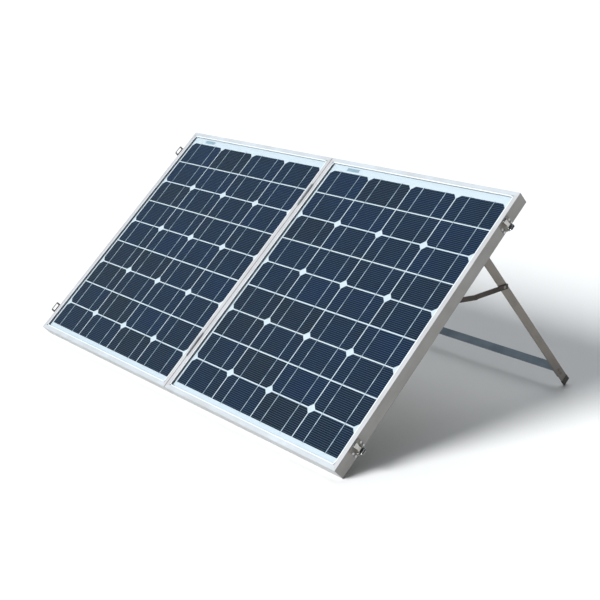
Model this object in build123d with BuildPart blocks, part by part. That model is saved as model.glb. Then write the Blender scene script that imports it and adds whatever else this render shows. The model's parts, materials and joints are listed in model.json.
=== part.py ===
"""Folding two-panel solar charging kit, standing open on its two rear leg frames.

Two equal framed solar panels are hinged face to face along one seam.  Each panel carries its
own folding leg frame with a pair of folding stays, and two draw latches hold the folded kit.

The model stands on the ground: +Z is up, the sunny side faces -Y, and the origin is the
middle of the base of the whole kit.  A place on a panel is given by three distances:
    w - inwards from the panel's outer side edge, across the panel
    s - up the slope from the panel's bottom edge
    d - backwards from the front plane of the frame
"""

import os
from math import atan2, cos, degrees, hypot, radians, sin

from build123d import *

os.makedirs("parts", exist_ok=True)

# ---------------------------------------------------------------- driving dimensions, mm
PANEL_WIDTH = 542.0
PANEL_HEIGHT = 636.0
FRAME_DEPTH = 28.0
SEAM_GAP = 1.5

# frame section
OUTER_WALL = 1.6
INNER_WALL = 1.4
FRONT_LIP = 9.5
RAIL_WIDTH = 10.0
SLOT_REAR = 6.6
REAR_FLANGE = 22.0
MOUNT_HOLE_RADIUS = 3.5
MOUNT_HOLE_INSET = 120.0

# laminate, depths behind the front plane
GLASS_FRONT, GLASS_REAR = 2.2, 5.4
RIBBON_FRONT, CELL_FRONT, CELL_REAR = 5.42, 5.5, 5.7
BACKSHEET_FRONT, BACKSHEET_REAR = 5.8, 6.4
LAMINATE_INSET = 6.5
SEAL_REACH = 9.0

# cells: half of a 125 mm pseudo-square wafer each
CELL_COLUMNS, CELL_ROWS = 4, 9
CELL_WIDTH, CELL_HEIGHT = 125.0, 62.5
COLUMN_PITCH, ROW_PITCH = 127.5, 65.25
CELL_CORNER = 8.8
GRID_SIDE_MARGIN = 16.0
GRID_BOTTOM_MARGIN = 21.75
RIBBON_WIDTH = 1.6
RIBBON_OVERRUN = 1.5

# legs, stays and crossbar
LEG_PIVOT_S, LEG_PIVOT_D = 500.0, 18.0
LEG_LENGTH = 434.0
LEG_WIDTH, LEG_THICKNESS = 18.0, 3.0
LEG_OPEN_ANGLE = 88.2
LEG_INSET = 15.0
CAP_WALL, CAP_LENGTH = 0.8, 14.0
CROSSBAR_REACH = 382.0
CROSSBAR_TAB = 25.0
STAY_WIDTH, STAY_THICKNESS = 10.0, 1.8
RAIL_LINK_INSET, LEG_LINK_INSET = 10.6, 12.7
STAY_RAIL_REACH, STAY_LEG_REACH = 116.0, 106.0
STAY_TAIL = 9.0
RAIL_LINK_LENGTH = 72.5
LEG_LINK_LENGTH = RAIL_LINK_LENGTH + STAY_RAIL_REACH - STAY_LEG_REACH
RECESS_RADIUS, RECESS_DEPTH = 3.4, 0.6
LEG_RIVET_RADIUS = 2.0
STUD_RADIUS, STAY_STUD_RADIUS = 3.0, 2.0
RUNNING_CLEARANCE = 0.07

# hinges on the seam
HINGE_LENGTH = 60.0
HINGE_CENTRES = (110.0, PANEL_HEIGHT - 110.0)
HINGE_AXIS_HEIGHT = 2.3
KNUCKLE_RADIUS, HINGE_PIN_RADIUS = 2.1, 1.15
KNUCKLES = 5
LEAF_THICKNESS, LEAF_DEPTH = 0.6, 24.0

# draw latches and their keepers
LOWER_LATCH_S = 57.5
UPPER_LATCH_S = 568.5
LATCH_HEIGHT = 30.0
LEVER_PIVOT = (5.5, 20.5)
LEVER_REACH = 16.5
CLAW_PIN = (9.5, 20.85)
CLAW_PIN_RADIUS = 1.0
CLAW_LENGTH = 23.5
CLAW_ANGLE = -97.0
CLAW_THICKNESS, CLAW_NOSE, CLAW_HALF_WIDTH = 1.4, 3.1, 5.0
LATCH_PLATE = 1.2
EAR_RADIUS, EAR_INSIDE, EAR_OUTSIDE = 2.8, 7.2, 8.4
LEVER_INSIDE, LEVER_OUTSIDE = 5.6, 6.8
LEVER_PIN_RADIUS = 1.5
KEEPER_WIDTH, KEEPER_THICKNESS = 24.0, 1.5
KEEPER_STANDOFF = 2.2
KEEPER_RISE = 9.0
KEEPER_WINDOW = 16.0
RIVET_RADIUS = 1.6

# junction box on the rear of each panel
BOX_WIDTH, BOX_HEIGHT, BOX_DEPTH = 100.0, 70.0, 15.0
BOX_CENTRE_S = 560.0
BOX_WALL, LID_THICKNESS = 2.0, 2.0
CABLE_RADIUS = 3.0
GLAND_LENGTH = 16.0
GLAND_RADIUS, GLAND_THREAD = 6.6, 5.0
GLAND_D = BACKSHEET_REAR + BOX_DEPTH / 2 + 0.5

# ---------------------------------------------------------------- derived placing
open_angle = radians(LEG_OPEN_ANGLE)
foot_s = LEG_PIVOT_S - LEG_LENGTH * cos(open_angle) - (LEG_WIDTH / 2 + CAP_WALL) * sin(open_angle)
foot_d = LEG_PIVOT_D + LEG_LENGTH * sin(open_angle) - (LEG_WIDTH / 2 + CAP_WALL) * cos(open_angle)
tilt = atan2(foot_d - FRAME_DEPTH, foot_s)

UP_SLOPE = Vector(0, cos(tilt), sin(tilt))
FRONT = Vector(0, -sin(tilt), cos(tilt))
ACROSS = Vector(1, 0, 0)

heel_s = foot_s + (LEG_WIDTH + 2 * CAP_WALL) * sin(open_angle)
heel_d = foot_d + (LEG_WIDTH + 2 * CAP_WALL) * cos(open_angle)
kit_depth = heel_s * cos(tilt) + heel_d * sin(tilt)
keeper_out = KEEPER_STANDOFF + KEEPER_THICKNESS
SEAM_X = (keeper_out - LEVER_REACH) / 2
FRONT_EDGE = Vector(0, -kit_depth / 2, FRAME_DEPTH * cos(tilt))

SIDES = (("right", 1), ("left", -1))
LATCH_CENTRES = (("lower", LOWER_LATCH_S), ("upper", UPPER_LATCH_S))

leg_direction = 180 - LEG_OPEN_ANGLE


def point(x, s, d):
    """World point at x, s up the slope and d behind the front plane."""
    return FRONT_EDGE + ACROSS * x + UP_SLOPE * s - FRONT * d


def panel_x(side, w):
    """World x of a place w inwards from the outer edge of the right (1) or left (-1) panel."""
    return SEAM_X + side * (SEAM_GAP / 2 + PANEL_WIDTH - w)


def face_plane(d):
    """Plane parallel to the glass, d behind the front plane; local x is world x, y is s."""
    return Plane(origin=point(0, 0, d), x_dir=ACROSS, z_dir=FRONT)


def slope_plane(s):
    """Plane square to the slope at height s, facing down the slope; local x is world x, y is -d."""
    return Plane(origin=point(0, s, 0), x_dir=ACROSS, z_dir=-UP_SLOPE)


def side_plane(x, s=0.0, d=0.0, turn=0.0):
    """Plane square to world x; local x starts up the slope and turns towards the rear."""
    along = UP_SLOPE * cos(radians(turn)) - FRONT * sin(radians(turn))
    return Plane(origin=point(x, s, d), x_dir=along, z_dir=ACROSS)


def span(side, w0, w1):
    """The two world x values of a span of w, lowest first."""
    return sorted((panel_x(side, w0), panel_x(side, w1)))


def block(side, w0, w1, s0, s1, d0, d1, mode=Mode.ADD):
    """A box between two values of each of w, s and d, inside the part being built."""
    x0, x1 = span(side, w0, w1)
    with BuildSketch(face_plane(d1)) as outline:
        with Locations(((x0 + x1) / 2, (s0 + s1) / 2)):
            Rectangle(x1 - x0, s1 - s0)
    extrude(outline.sketch, amount=d1 - d0, mode=mode)


def rod(side, w0, w1, s, d, radius, mode=Mode.ADD):
    """A round bar across the panel between two values of w."""
    x0, x1 = span(side, w0, w1)
    with BuildSketch(side_plane(x0, s, d)) as outline:
        Circle(radius)
    extrude(outline.sketch, amount=x1 - x0, mode=mode)


def slope_rod(x, d, s0, s1, radius, mode=Mode.ADD):
    """A round bar lying along the slope between two values of s."""
    with BuildSketch(slope_plane(s1)) as outline:
        with Locations((x, -d)):
            Circle(radius)
    extrude(outline.sketch, amount=s1 - s0, mode=mode)


def save(piece, name):
    """Label a finished sub-part and write its STEP file."""
    piece.part.label = name
    export_step(piece.part, f"parts/{name}.step")


def rail_section(flange):
    """Corner points (w, d) of the frame section; the rear flange reaches as far as given."""
    rear = FRAME_DEPTH - INNER_WALL
    outline = [(0, 0), (FRONT_LIP, 0), (FRONT_LIP, OUTER_WALL), (OUTER_WALL, OUTER_WALL)]
    outline += [(OUTER_WALL, SLOT_REAR), (RAIL_WIDTH, SLOT_REAR)]
    if flange > RAIL_WIDTH:
        outline += [(RAIL_WIDTH, rear), (flange, rear), (flange, FRAME_DEPTH)]
    else:
        outline += [(RAIL_WIDTH, FRAME_DEPTH)]
    outline += [(0, FRAME_DEPTH)]
    shelf = SLOT_REAR + INNER_WALL
    chamber = [(OUTER_WALL, shelf), (RAIL_WIDTH - INNER_WALL, shelf)]
    chamber += [(RAIL_WIDTH - INNER_WALL, rear), (OUTER_WALL, rear)]
    return outline, chamber


# ---------------------------------------------------------------- frame rails
# Hollow aluminium extrusion, mitred at the corners: an outer wall, a front lip over the glass
# edge, the glass slot, and a closed chamber behind it that takes the corner keys.
def side_rail(side, inner):
    """One side rail of a panel, the seam one when inner is true."""
    def across(w):
        return panel_x(side, PANEL_WIDTH - w if inner else w)

    outline, chamber = rail_section(0)
    mitre = [(0, 0), (RAIL_WIDTH, RAIL_WIDTH)]
    mitre += [(RAIL_WIDTH, PANEL_HEIGHT - RAIL_WIDTH), (0, PANEL_HEIGHT)]
    with BuildPart() as rail:
        with BuildSketch(slope_plane(PANEL_HEIGHT)) as section:
            with BuildLine():
                Polyline([(across(w), -d) for w, d in outline], close=True)
            make_face()
            with BuildLine():
                Polyline([(across(w), -d) for w, d in chamber], close=True)
            make_face(mode=Mode.SUBTRACT)
        extrude(amount=PANEL_HEIGHT)
        with BuildSketch(face_plane(0)) as plan:
            with BuildLine():
                Polyline([(across(w), s) for w, s in mitre], close=True)
            make_face()
        extrude(amount=-FRAME_DEPTH, mode=Mode.INTERSECT)
        for reach, radius in ((0, STUD_RADIUS), (STAY_RAIL_REACH, STAY_STUD_RADIUS)):
            wall = (RAIL_WIDTH - INNER_WALL, RAIL_WIDTH)
            w0, w1 = (PANEL_WIDTH - w for w in wall) if inner else wall
            rod(side, w0, w1, LEG_PIVOT_S - reach, LEG_PIVOT_D, radius, Mode.SUBTRACT)
        if inner:
            for centre in HINGE_CENTRES:
                for s, d in hinge_rivet_places(centre):
                    rod(side, PANEL_WIDTH - OUTER_WALL, PANEL_WIDTH, s, d, RIVET_RADIUS, Mode.SUBTRACT)
        else:
            for s, d in catch_rivet_places(side):
                rod(side, 0, OUTER_WALL, s, d, RIVET_RADIUS, Mode.SUBTRACT)
    return rail


def cross_rail(side, top):
    """The top or the bottom rail of a panel, with its rear mounting flange."""
    def height(s):
        return PANEL_HEIGHT - s if top else s

    outline, chamber = rail_section(REAR_FLANGE)
    x0, x1 = span(side, 0, PANEL_WIDTH)
    mitre = [(0, 0), (RAIL_WIDTH, RAIL_WIDTH), (RAIL_WIDTH, REAR_FLANGE)]
    mitre += [(PANEL_WIDTH - w, s) for w, s in reversed(mitre)]
    with BuildPart() as rail:
        with BuildSketch(side_plane(x0)) as section:
            with BuildLine():
                Polyline([(height(w), -d) for w, d in outline], close=True)
            make_face()
            with BuildLine():
                Polyline([(height(w), -d) for w, d in chamber], close=True)
            make_face(mode=Mode.SUBTRACT)
        extrude(amount=x1 - x0)
        with BuildSketch(face_plane(0)) as plan:
            with BuildLine():
                Polyline([(panel_x(side, w), height(s)) for w, s in mitre], close=True)
            make_face()
        extrude(amount=-FRAME_DEPTH, mode=Mode.INTERSECT)
        with BuildSketch(face_plane(FRAME_DEPTH)) as holes:
            for w in (MOUNT_HOLE_INSET, PANEL_WIDTH - MOUNT_HOLE_INSET):
                with Locations((panel_x(side, w), height((RAIL_WIDTH + REAR_FLANGE) / 2))):
                    Circle(MOUNT_HOLE_RADIUS)
        extrude(amount=INNER_WALL, mode=Mode.SUBTRACT)
    return rail


def hinge_rivet_places(centre):
    """(s, d) of the three countersunk rivets that hold one hinge leaf."""
    return [(centre + step, LEAF_DEPTH / 2 + 1) for step in (-22, 0, 22)]


def catch_rivet_places(side):
    """(s, d) of the rivets on the outer wall: latch plates on the right, keepers on the left."""
    places = []
    for _, centre in LATCH_CENTRES:
        for step in (-12.3, 12.3):
            if side > 0:
                places += [(centre + step, 13.0), (centre + step, 22.5)]
            else:
                places += [(centre + step * 0.7, 11.0)]
    return places


# ---------------------------------------------------------------- corner keys
# Solid angles pressed into the chambers, one in each mitred corner.
def corner_keys(side):
    """The four corner keys of one panel."""
    near, far, reach = OUTER_WALL + 0.2, RAIL_WIDTH - INNER_WALL - 0.2, 40.0
    angle = [(near, near), (reach, near), (reach, far), (far, far), (far, reach), (near, reach)]
    front, rear = SLOT_REAR + INNER_WALL + 0.2, FRAME_DEPTH - INNER_WALL - 0.2
    with BuildPart() as keys:
        for inner in (False, True):
            for top in (False, True):
                corner = []
                for w, s in angle:
                    w = PANEL_WIDTH - w if inner else w
                    s = PANEL_HEIGHT - s if top else s
                    corner.append((panel_x(side, w), s))
                with BuildSketch(face_plane(rear)) as outline:
                    with BuildLine():
                        Polyline(corner, close=True)
                    make_face()
                extrude(outline.sketch, amount=rear - front)
    return keys


# ---------------------------------------------------------------- laminate
# Tempered glass, the cells and their ribbons, and the backsheet, in an edge seal.
def sheet(side, inset, front, rear):
    """A flat sheet that stops the same distance short of every frame edge."""
    with BuildPart() as layer:
        block(side, inset, PANEL_WIDTH - inset, inset, PANEL_HEIGHT - inset, front, rear)
    return layer


def edge_seal(side):
    """Channel of sealant that wraps the laminate's edge inside the frame's slot."""
    with BuildPart() as seal:
        block(side, OUTER_WALL, PANEL_WIDTH - OUTER_WALL,
              OUTER_WALL, PANEL_HEIGHT - OUTER_WALL, OUTER_WALL, SLOT_REAR)
        block(side, SEAL_REACH, PANEL_WIDTH - SEAL_REACH,
              SEAL_REACH, PANEL_HEIGHT - SEAL_REACH, 0, FRAME_DEPTH, Mode.SUBTRACT)
        block(side, LAMINATE_INSET, PANEL_WIDTH - LAMINATE_INSET,
              LAMINATE_INSET, PANEL_HEIGHT - LAMINATE_INSET,
              GLASS_FRONT, BACKSHEET_REAR, Mode.SUBTRACT)
    return seal


def cells(side):
    """All half cells of one panel; the cut-off corners face each other across every other gap."""
    half_w, half_h = CELL_WIDTH / 2, CELL_HEIGHT / 2
    with BuildPart() as wafer_group:
        with BuildSketch(face_plane(CELL_REAR)) as wafers:
            for row in range(CELL_ROWS):
                cut_top = row % 2 == 0
                flip = 1 if cut_top else -1
                outline = [(-half_w, -half_h), (half_w, -half_h), (half_w, half_h - CELL_CORNER),
                           (half_w - CELL_CORNER, half_h), (CELL_CORNER - half_w, half_h),
                           (-half_w, half_h - CELL_CORNER)]
                s = GRID_BOTTOM_MARGIN + (row + 0.5) * ROW_PITCH
                for column in range(CELL_COLUMNS):
                    x = panel_x(side, GRID_SIDE_MARGIN + (column + 0.5) * COLUMN_PITCH)
                    with BuildLine():
                        Polyline([(x + u, s + flip * v) for u, v in outline], close=True)
                    make_face()
        extrude(amount=CELL_REAR - CELL_FRONT)
    return wafer_group


def ribbons(side):
    """Tinned copper ribbons: two up each column of cells, just past its ends."""
    low = GRID_BOTTOM_MARGIN - RIBBON_OVERRUN
    high = GRID_BOTTOM_MARGIN + CELL_ROWS * ROW_PITCH + RIBBON_OVERRUN
    with BuildPart() as conductors:
        for column in range(CELL_COLUMNS):
            middle = GRID_SIDE_MARGIN + (column + 0.5) * COLUMN_PITCH
            for offset in (-CELL_WIDTH / 4, CELL_WIDTH / 4):
                w = middle + offset
                block(side, w - RIBBON_WIDTH / 2, w + RIBBON_WIDTH / 2,
                      low, high, RIBBON_FRONT, CELL_FRONT)
    return conductors


def serial_label(side):
    """Small blank sticker behind the glass, in the top margin."""
    left = GRID_SIDE_MARGIN + (45.0 if side < 0 else CELL_COLUMNS * COLUMN_PITCH - 83.0)
    with BuildPart() as label:
        block(side, left, left + 38.0, 613.0, 621.0, CELL_FRONT, CELL_REAR)
    return label


# ---------------------------------------------------------------- junction box
def box_outline(side, inset, radius):
    """Rounded plan of the junction box, in the sketch being drawn."""
    with Locations((panel_x(side, PANEL_WIDTH / 2), BOX_CENTRE_S)):
        RectangleRounded(BOX_WIDTH - 2 * inset, BOX_HEIGHT - 2 * inset, radius)


def gland_sides(side):
    """Directions in world x in which cable glands leave a junction box."""
    return (-1, 1) if side > 0 else (1,)


def junction_box(side):
    """Open tray bonded to the backsheet, with a threaded hole for each gland."""
    x = panel_x(side, PANEL_WIDTH / 2)
    with BuildPart() as tray:
        with BuildSketch(face_plane(BACKSHEET_REAR)) as outer:
            box_outline(side, 0, 6)
        extrude(amount=-BOX_DEPTH)
        with BuildSketch(face_plane(BACKSHEET_REAR + BOX_WALL)) as hollow:
            box_outline(side, BOX_WALL, 4)
        extrude(amount=BOX_WALL - BOX_DEPTH, mode=Mode.SUBTRACT)
        for way in gland_sides(side):
            wall = x + way * (BOX_WIDTH - BOX_WALL) / 2
            with BuildSketch(side_plane(wall, BOX_CENTRE_S, GLAND_D)) as hole:
                Circle(GLAND_THREAD)
            extrude(hole.sketch, amount=BOX_WALL, both=True, mode=Mode.SUBTRACT)
    return tray


def junction_box_lid(side):
    """Snap-on lid with a locating rim, thumb recesses on its long edges."""
    rear = BACKSHEET_REAR + BOX_DEPTH
    with BuildPart() as lid:
        with BuildSketch(face_plane(rear)) as cover:
            box_outline(side, 0, 6)
        extrude(amount=-LID_THICKNESS)
        outer_edges = lid.faces().sort_by(Axis((0, 0, 0), tuple(FRONT)))[0].edges()
        chamfer(outer_edges, 0.8)
        with BuildSketch(face_plane(rear)) as rim:
            box_outline(side, BOX_WALL + 0.2, 3.8)
            with Locations((panel_x(side, PANEL_WIDTH / 2), BOX_CENTRE_S)):
                RectangleRounded(BOX_WIDTH - 7.4, BOX_HEIGHT - 7.4, 2.8, mode=Mode.SUBTRACT)
        extrude(amount=1.6)
    return lid


def terminal_block(side):
    """Terminal rail with its two bypass diodes, as three separate pieces on the tray floor."""
    floor = BACKSHEET_REAR + BOX_WALL
    middle = PANEL_WIDTH / 2
    with BuildPart() as block_group:
        block(side, middle - 34, middle + 34, BOX_CENTRE_S + 4, BOX_CENTRE_S + 22,
              floor, floor + 6)
        for w in (middle - 22, middle, middle + 22):
            block(side, w - 6, w + 6, BOX_CENTRE_S + 8, BOX_CENTRE_S + 18,
                  floor + 4, floor + 6, Mode.SUBTRACT)
        for w in (middle - 26, middle + 6):
            block(side, w, w + 20, BOX_CENTRE_S - 14, BOX_CENTRE_S - 6, floor, floor + 5)
    return block_group


def cable_glands(side):
    """Cable glands screwed into the junction box: flange, dome nut and a cable bore."""
    x = panel_x(side, PANEL_WIDTH / 2)
    with BuildPart() as glands:
        for way in gland_sides(side):
            wall = x + way * BOX_WIDTH / 2
            profile = [(-4, CABLE_RADIUS), (-4, GLAND_THREAD), (0, GLAND_THREAD), (0, GLAND_RADIUS),
                       (GLAND_LENGTH - 5, GLAND_RADIUS), (GLAND_LENGTH, 4.6), (GLAND_LENGTH, CABLE_RADIUS)]
            with BuildSketch(face_plane(GLAND_D)) as half:
                with BuildLine():
                    Polyline([(wall + way * a, BOX_CENTRE_S + r) for a, r in profile], close=True)
                make_face()
            axis = Axis(tuple(point(wall, BOX_CENTRE_S, GLAND_D)), (1, 0, 0))
            revolve(half.sketch, axis=axis)
    return glands


# ---------------------------------------------------------------- legs
def leg_plane(x):
    """Plane square to world x; local x runs down the leg from its pivot."""
    return side_plane(x, LEG_PIVOT_S, LEG_PIVOT_D, leg_direction)


def leg_span(side, inner):
    """World x span of one leg bar."""
    w0 = PANEL_WIDTH - LEG_INSET - LEG_THICKNESS if inner else LEG_INSET
    return span(side, w0, w0 + LEG_THICKNESS)


def crossbar_rivet_reach():
    """Distances down the leg of the two rivets through each crossbar tab."""
    first = CROSSBAR_REACH + 9
    return (first, first + 10)


def leg_bar(side, inner):
    """Flat bar leg with a rounded pivot end and its drilled holes."""
    x0, x1 = leg_span(side, inner)
    length = LEG_LENGTH - CAP_WALL
    with BuildPart() as bar:
        with BuildSketch(leg_plane(x0)) as outline:
            with Locations((length / 2, 0)):
                Rectangle(length, LEG_WIDTH)
            Circle(LEG_WIDTH / 2)
            Circle(STUD_RADIUS + RUNNING_CLEARANCE, mode=Mode.SUBTRACT)
            with Locations((STAY_LEG_REACH, 0)):
                Circle(STAY_STUD_RADIUS, mode=Mode.SUBTRACT)
            for reach in crossbar_rivet_reach():
                with Locations((reach, 0)):
                    Circle(LEG_RIVET_RADIUS, mode=Mode.SUBTRACT)
        extrude(amount=x1 - x0)
    return bar


def crossbar(side):
    """Flat crossbar between the legs, its ends bent down the legs as riveted tabs."""
    x0, x1 = span(side, LEG_INSET + LEG_THICKNESS, PANEL_WIDTH - LEG_INSET - LEG_THICKNESS)
    base = leg_plane(x0)
    plan = Plane(origin=base.origin, x_dir=ACROSS, z_dir=base.y_dir)
    near = CROSSBAR_REACH - LEG_THICKNESS / 2
    far = near + CROSSBAR_TAB
    width, t = x1 - x0, LEG_THICKNESS
    outline = [(0, far), (0, near), (width, near), (width, far), (width - t, far),
               (width - t, near + t), (t, near + t), (t, far)]
    with BuildPart() as bar:
        with BuildSketch(plan) as section:
            with BuildLine():
                Polyline(outline, close=True)
            make_face()
            fillet(section.vertices().group_by(Axis.Y)[1], t / 2)
            fillet(section.vertices().group_by(Axis.Y)[0], 1.5 * t)
        extrude(amount=LEG_WIDTH / 2, both=True)
        for reach in crossbar_rivet_reach():
            for x in (x0, x1 - t):
                with BuildSketch(leg_plane(x)) as hole:
                    with Locations((reach, 0)):
                        Circle(LEG_RIVET_RADIUS)
                extrude(hole.sketch, amount=t, mode=Mode.SUBTRACT)
    return bar


def leg_end_caps(side):
    """Moulded sleeves on the two feet of one leg frame."""
    half = LEG_WIDTH / 2
    with BuildPart() as caps:
        for inner in (False, True):
            x0, x1 = leg_span(side, inner)
            with BuildSketch(leg_plane(x0 - CAP_WALL)) as outer:
                with Locations((LEG_LENGTH - CAP_LENGTH / 2, 0)):
                    Rectangle(CAP_LENGTH, LEG_WIDTH + 2 * CAP_WALL)
            extrude(outer.sketch, amount=x1 - x0 + 2 * CAP_WALL)
            with BuildSketch(leg_plane(x0)) as pocket:
                with Locations((LEG_LENGTH - CAP_WALL - CAP_LENGTH / 2, 0)):
                    Rectangle(CAP_LENGTH, 2 * half)
            extrude(pocket.sketch, amount=x1 - x0, mode=Mode.SUBTRACT)
    return caps


# ---------------------------------------------------------------- folding stays
# Two flat links beside each leg.  Their elbow is where the closed linkage is opened: the two
# links meet there but no pin joins them.
def elbow():
    """(s, d) of the elbow with the legs open, on the side away from the leg pivot."""
    rail_s, rail_d = LEG_PIVOT_S - STAY_RAIL_REACH, LEG_PIVOT_D
    leg_s, leg_d = leg_place(STAY_LEG_REACH)
    gap = hypot(leg_s - rail_s, leg_d - rail_d)
    along = (gap ** 2 + RAIL_LINK_LENGTH ** 2 - LEG_LINK_LENGTH ** 2) / (2 * gap)
    aside = (RAIL_LINK_LENGTH ** 2 - along ** 2) ** 0.5
    unit_s, unit_d = (leg_s - rail_s) / gap, (leg_d - rail_d) / gap
    return (rail_s + unit_s * along - unit_d * aside, rail_d + unit_d * along + unit_s * aside)


def leg_place(reach):
    """(s, d) of a place on the leg's middle line, at a distance from its pivot."""
    return (LEG_PIVOT_S - reach * cos(open_angle), LEG_PIVOT_D + reach * sin(open_angle))


def direction(start, end):
    """Angle from one (s, d) place to another, from up the slope towards the rear."""
    return degrees(atan2(end[1] - start[1], end[0] - start[0]))


def link_span(side, inner, inset):
    """World x span of a stay link lying a given distance inside its side rail."""
    w0 = PANEL_WIDTH - inset - STAY_THICKNESS if inner else inset
    return span(side, w0, w0 + STAY_THICKNESS)


def stay_links(side, inset, start, length, tail, recess_rear):
    """One kind of link on both legs of a panel: a strip with a round elbow end."""
    turn = direction(start, elbow())
    with BuildPart() as links:
        for inner in (False, True):
            x0, x1 = link_span(side, inner, inset)
            with BuildSketch(side_plane(x0, *start, turn)) as outline:
                with Locations(((length - tail) / 2, 0)):
                    Rectangle(length + tail, STAY_WIDTH)
                if tail == 0:
                    Circle(STAY_WIDTH / 2)
                with Locations((length, 0)):
                    Circle(STAY_WIDTH / 2)
                Circle(STAY_STUD_RADIUS + RUNNING_CLEARANCE, mode=Mode.SUBTRACT)
            extrude(outline.sketch, amount=x1 - x0)
            inwards = -side if not inner else side
            at_x1 = (inwards > 0) == recess_rear
            recess_x = x1 - RECESS_DEPTH if at_x1 else x0
            with BuildSketch(side_plane(recess_x, *start)) as recess:
                Circle(RECESS_RADIUS)
            extrude(recess.sketch, amount=RECESS_DEPTH, mode=Mode.SUBTRACT)
    return links


# ---------------------------------------------------------------- studs and rivets
def stepped_stud(side, inner, place, steps):
    """A turned stud across the panel; steps are (w0, w1, radius) from the outer side inwards."""
    for w0, w1, radius in steps:
        if inner:
            w0, w1 = PANEL_WIDTH - w1, PANEL_WIDTH - w0
        rod(side, w0, w1, *place, radius)


def pivot_studs(side):
    """Shoulder studs riveted into the side rails: leg pivots and stay pivots."""
    wall = RAIL_WIDTH - INNER_WALL
    leg_far = LEG_INSET + LEG_THICKNESS
    leg_steps = [(wall - 1.2, wall, 5.0), (wall, leg_far + 0.1, STUD_RADIUS),
                 (RAIL_WIDTH, LEG_INSET - 0.1, 6.0), (leg_far + 0.1, leg_far + 1.7, 7.0)]
    link_far = RAIL_LINK_INSET + STAY_THICKNESS
    stay_steps = [(wall - 1.0, wall, 3.6), (wall, link_far - 0.05, STAY_STUD_RADIUS),
                  (RAIL_WIDTH, RAIL_LINK_INSET - 0.1, 3.6),
                  (link_far - RECESS_DEPTH + 0.1, link_far - 0.05, RECESS_RADIUS - 0.2)]
    with BuildPart() as studs:
        for inner in (False, True):
            stepped_stud(side, inner, (LEG_PIVOT_S, LEG_PIVOT_D), leg_steps)
            stepped_stud(side, inner, (LEG_PIVOT_S - STAY_RAIL_REACH, LEG_PIVOT_D), stay_steps)
    return studs


def leg_rivets(side):
    """Rivets carried by the leg frame: one stay pivot and two crossbar rivets on each leg."""
    near, far = LEG_INSET, LEG_INSET + LEG_THICKNESS
    stay_steps = [(LEG_LINK_INSET + 0.05, LEG_LINK_INSET + RECESS_DEPTH - 0.1,
                   RECESS_RADIUS - 0.2),
                  (LEG_LINK_INSET + 0.05, far, STAY_STUD_RADIUS),
                  (LEG_LINK_INSET + STAY_THICKNESS + 0.1, near, 3.6), (far, far + 1.2, 3.6)]
    tab_far = far + LEG_THICKNESS
    bar_steps = [(near - 1.0, near, 3.6), (near, tab_far, LEG_RIVET_RADIUS),
                 (tab_far, tab_far + 1.0, 3.6)]
    with BuildPart() as rivets:
        for inner in (False, True):
            stepped_stud(side, inner, leg_place(STAY_LEG_REACH), stay_steps)
            for reach in crossbar_rivet_reach():
                stepped_stud(side, inner, leg_place(reach), bar_steps)
    return rivets


def panel_rivets(side):
    """Blind rivets in one panel's frame: hinge leaves, and latch plates or keepers."""
    plate = LATCH_PLATE if side > 0 else KEEPER_THICKNESS
    tail = OUTER_WALL + 1.2
    with BuildPart() as rivets:
        for s, d in catch_rivet_places(side):
            rod(side, -plate, OUTER_WALL, s, d, RIVET_RADIUS)
            rod(side, -plate - 1.0, -plate, s, d, RIVET_RADIUS + 0.9)
            rod(side, OUTER_WALL, tail, s, d, RIVET_RADIUS + 0.6)
        for centre in HINGE_CENTRES:
            for s, d in hinge_rivet_places(centre):
                rod(side, PANEL_WIDTH - OUTER_WALL, PANEL_WIDTH + LEAF_THICKNESS,
                    s, d, RIVET_RADIUS)
                rod(side, PANEL_WIDTH - tail, PANEL_WIDTH - OUTER_WALL, s, d, RIVET_RADIUS + 0.6)
    return rivets


# ---------------------------------------------------------------- seam hinges
def hinge_leaves(side):
    """One panel's hinge leaves with their share of the knuckles; the right one has the ends."""
    pitch = HINGE_LENGTH / KNUCKLES
    with BuildPart() as leaves:
        for centre in HINGE_CENTRES:
            low = centre - HINGE_LENGTH / 2
            block(side, PANEL_WIDTH, PANEL_WIDTH + LEAF_THICKNESS, low, low + HINGE_LENGTH,
                  0.2, LEAF_DEPTH)
            for number in range(0 if side > 0 else 1, KNUCKLES, 2):
                s0, s1 = low + number * pitch + 0.15, low + (number + 1) * pitch - 0.15
                block(side, PANEL_WIDTH, PANEL_WIDTH + LEAF_THICKNESS, s0, s1, -1.6, 0.2)
                slope_rod(SEAM_X, -HINGE_AXIS_HEIGHT, s0, s1, KNUCKLE_RADIUS)
            slope_rod(SEAM_X, -HINGE_AXIS_HEIGHT, low - 1, low + HINGE_LENGTH + 1,
                      HINGE_PIN_RADIUS + RUNNING_CLEARANCE, Mode.SUBTRACT)
            for s, d in hinge_rivet_places(centre):
                rod(side, PANEL_WIDTH, PANEL_WIDTH + LEAF_THICKNESS, s, d,
                    RIVET_RADIUS, Mode.SUBTRACT)
    return leaves


def hinge_pins():
    """The pins of both seam hinges, with eased ends."""
    with BuildPart() as pins:
        for centre in HINGE_CENTRES:
            half = HINGE_LENGTH / 2 + 0.4
            slope_rod(SEAM_X, -HINGE_AXIS_HEIGHT, centre - half, centre + half, HINGE_PIN_RADIUS)
        chamfer(pins.edges().filter_by(GeomType.CIRCLE), 0.3)
    return pins


# ---------------------------------------------------------------- draw latches
# Sections of the latch parts are drawn in (p, d), where p stands out from the outer wall.
def latch_sketch(side, s, corners):
    """Closed outline from (p, d) corner points, at height s, for a following extrude."""
    with BuildSketch(slope_plane(s)) as outline:
        with BuildLine():
            Polyline([(panel_x(side, -p), -d) for p, d in corners], close=True)
        make_face()
    return outline.sketch


def latch_rod(side, place, s0, s1, radius, mode=Mode.ADD):
    """Round bar along the slope at a (p, d) place."""
    slope_rod(panel_x(side, -place[0]), place[1], s0, s1, radius, mode)


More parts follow.
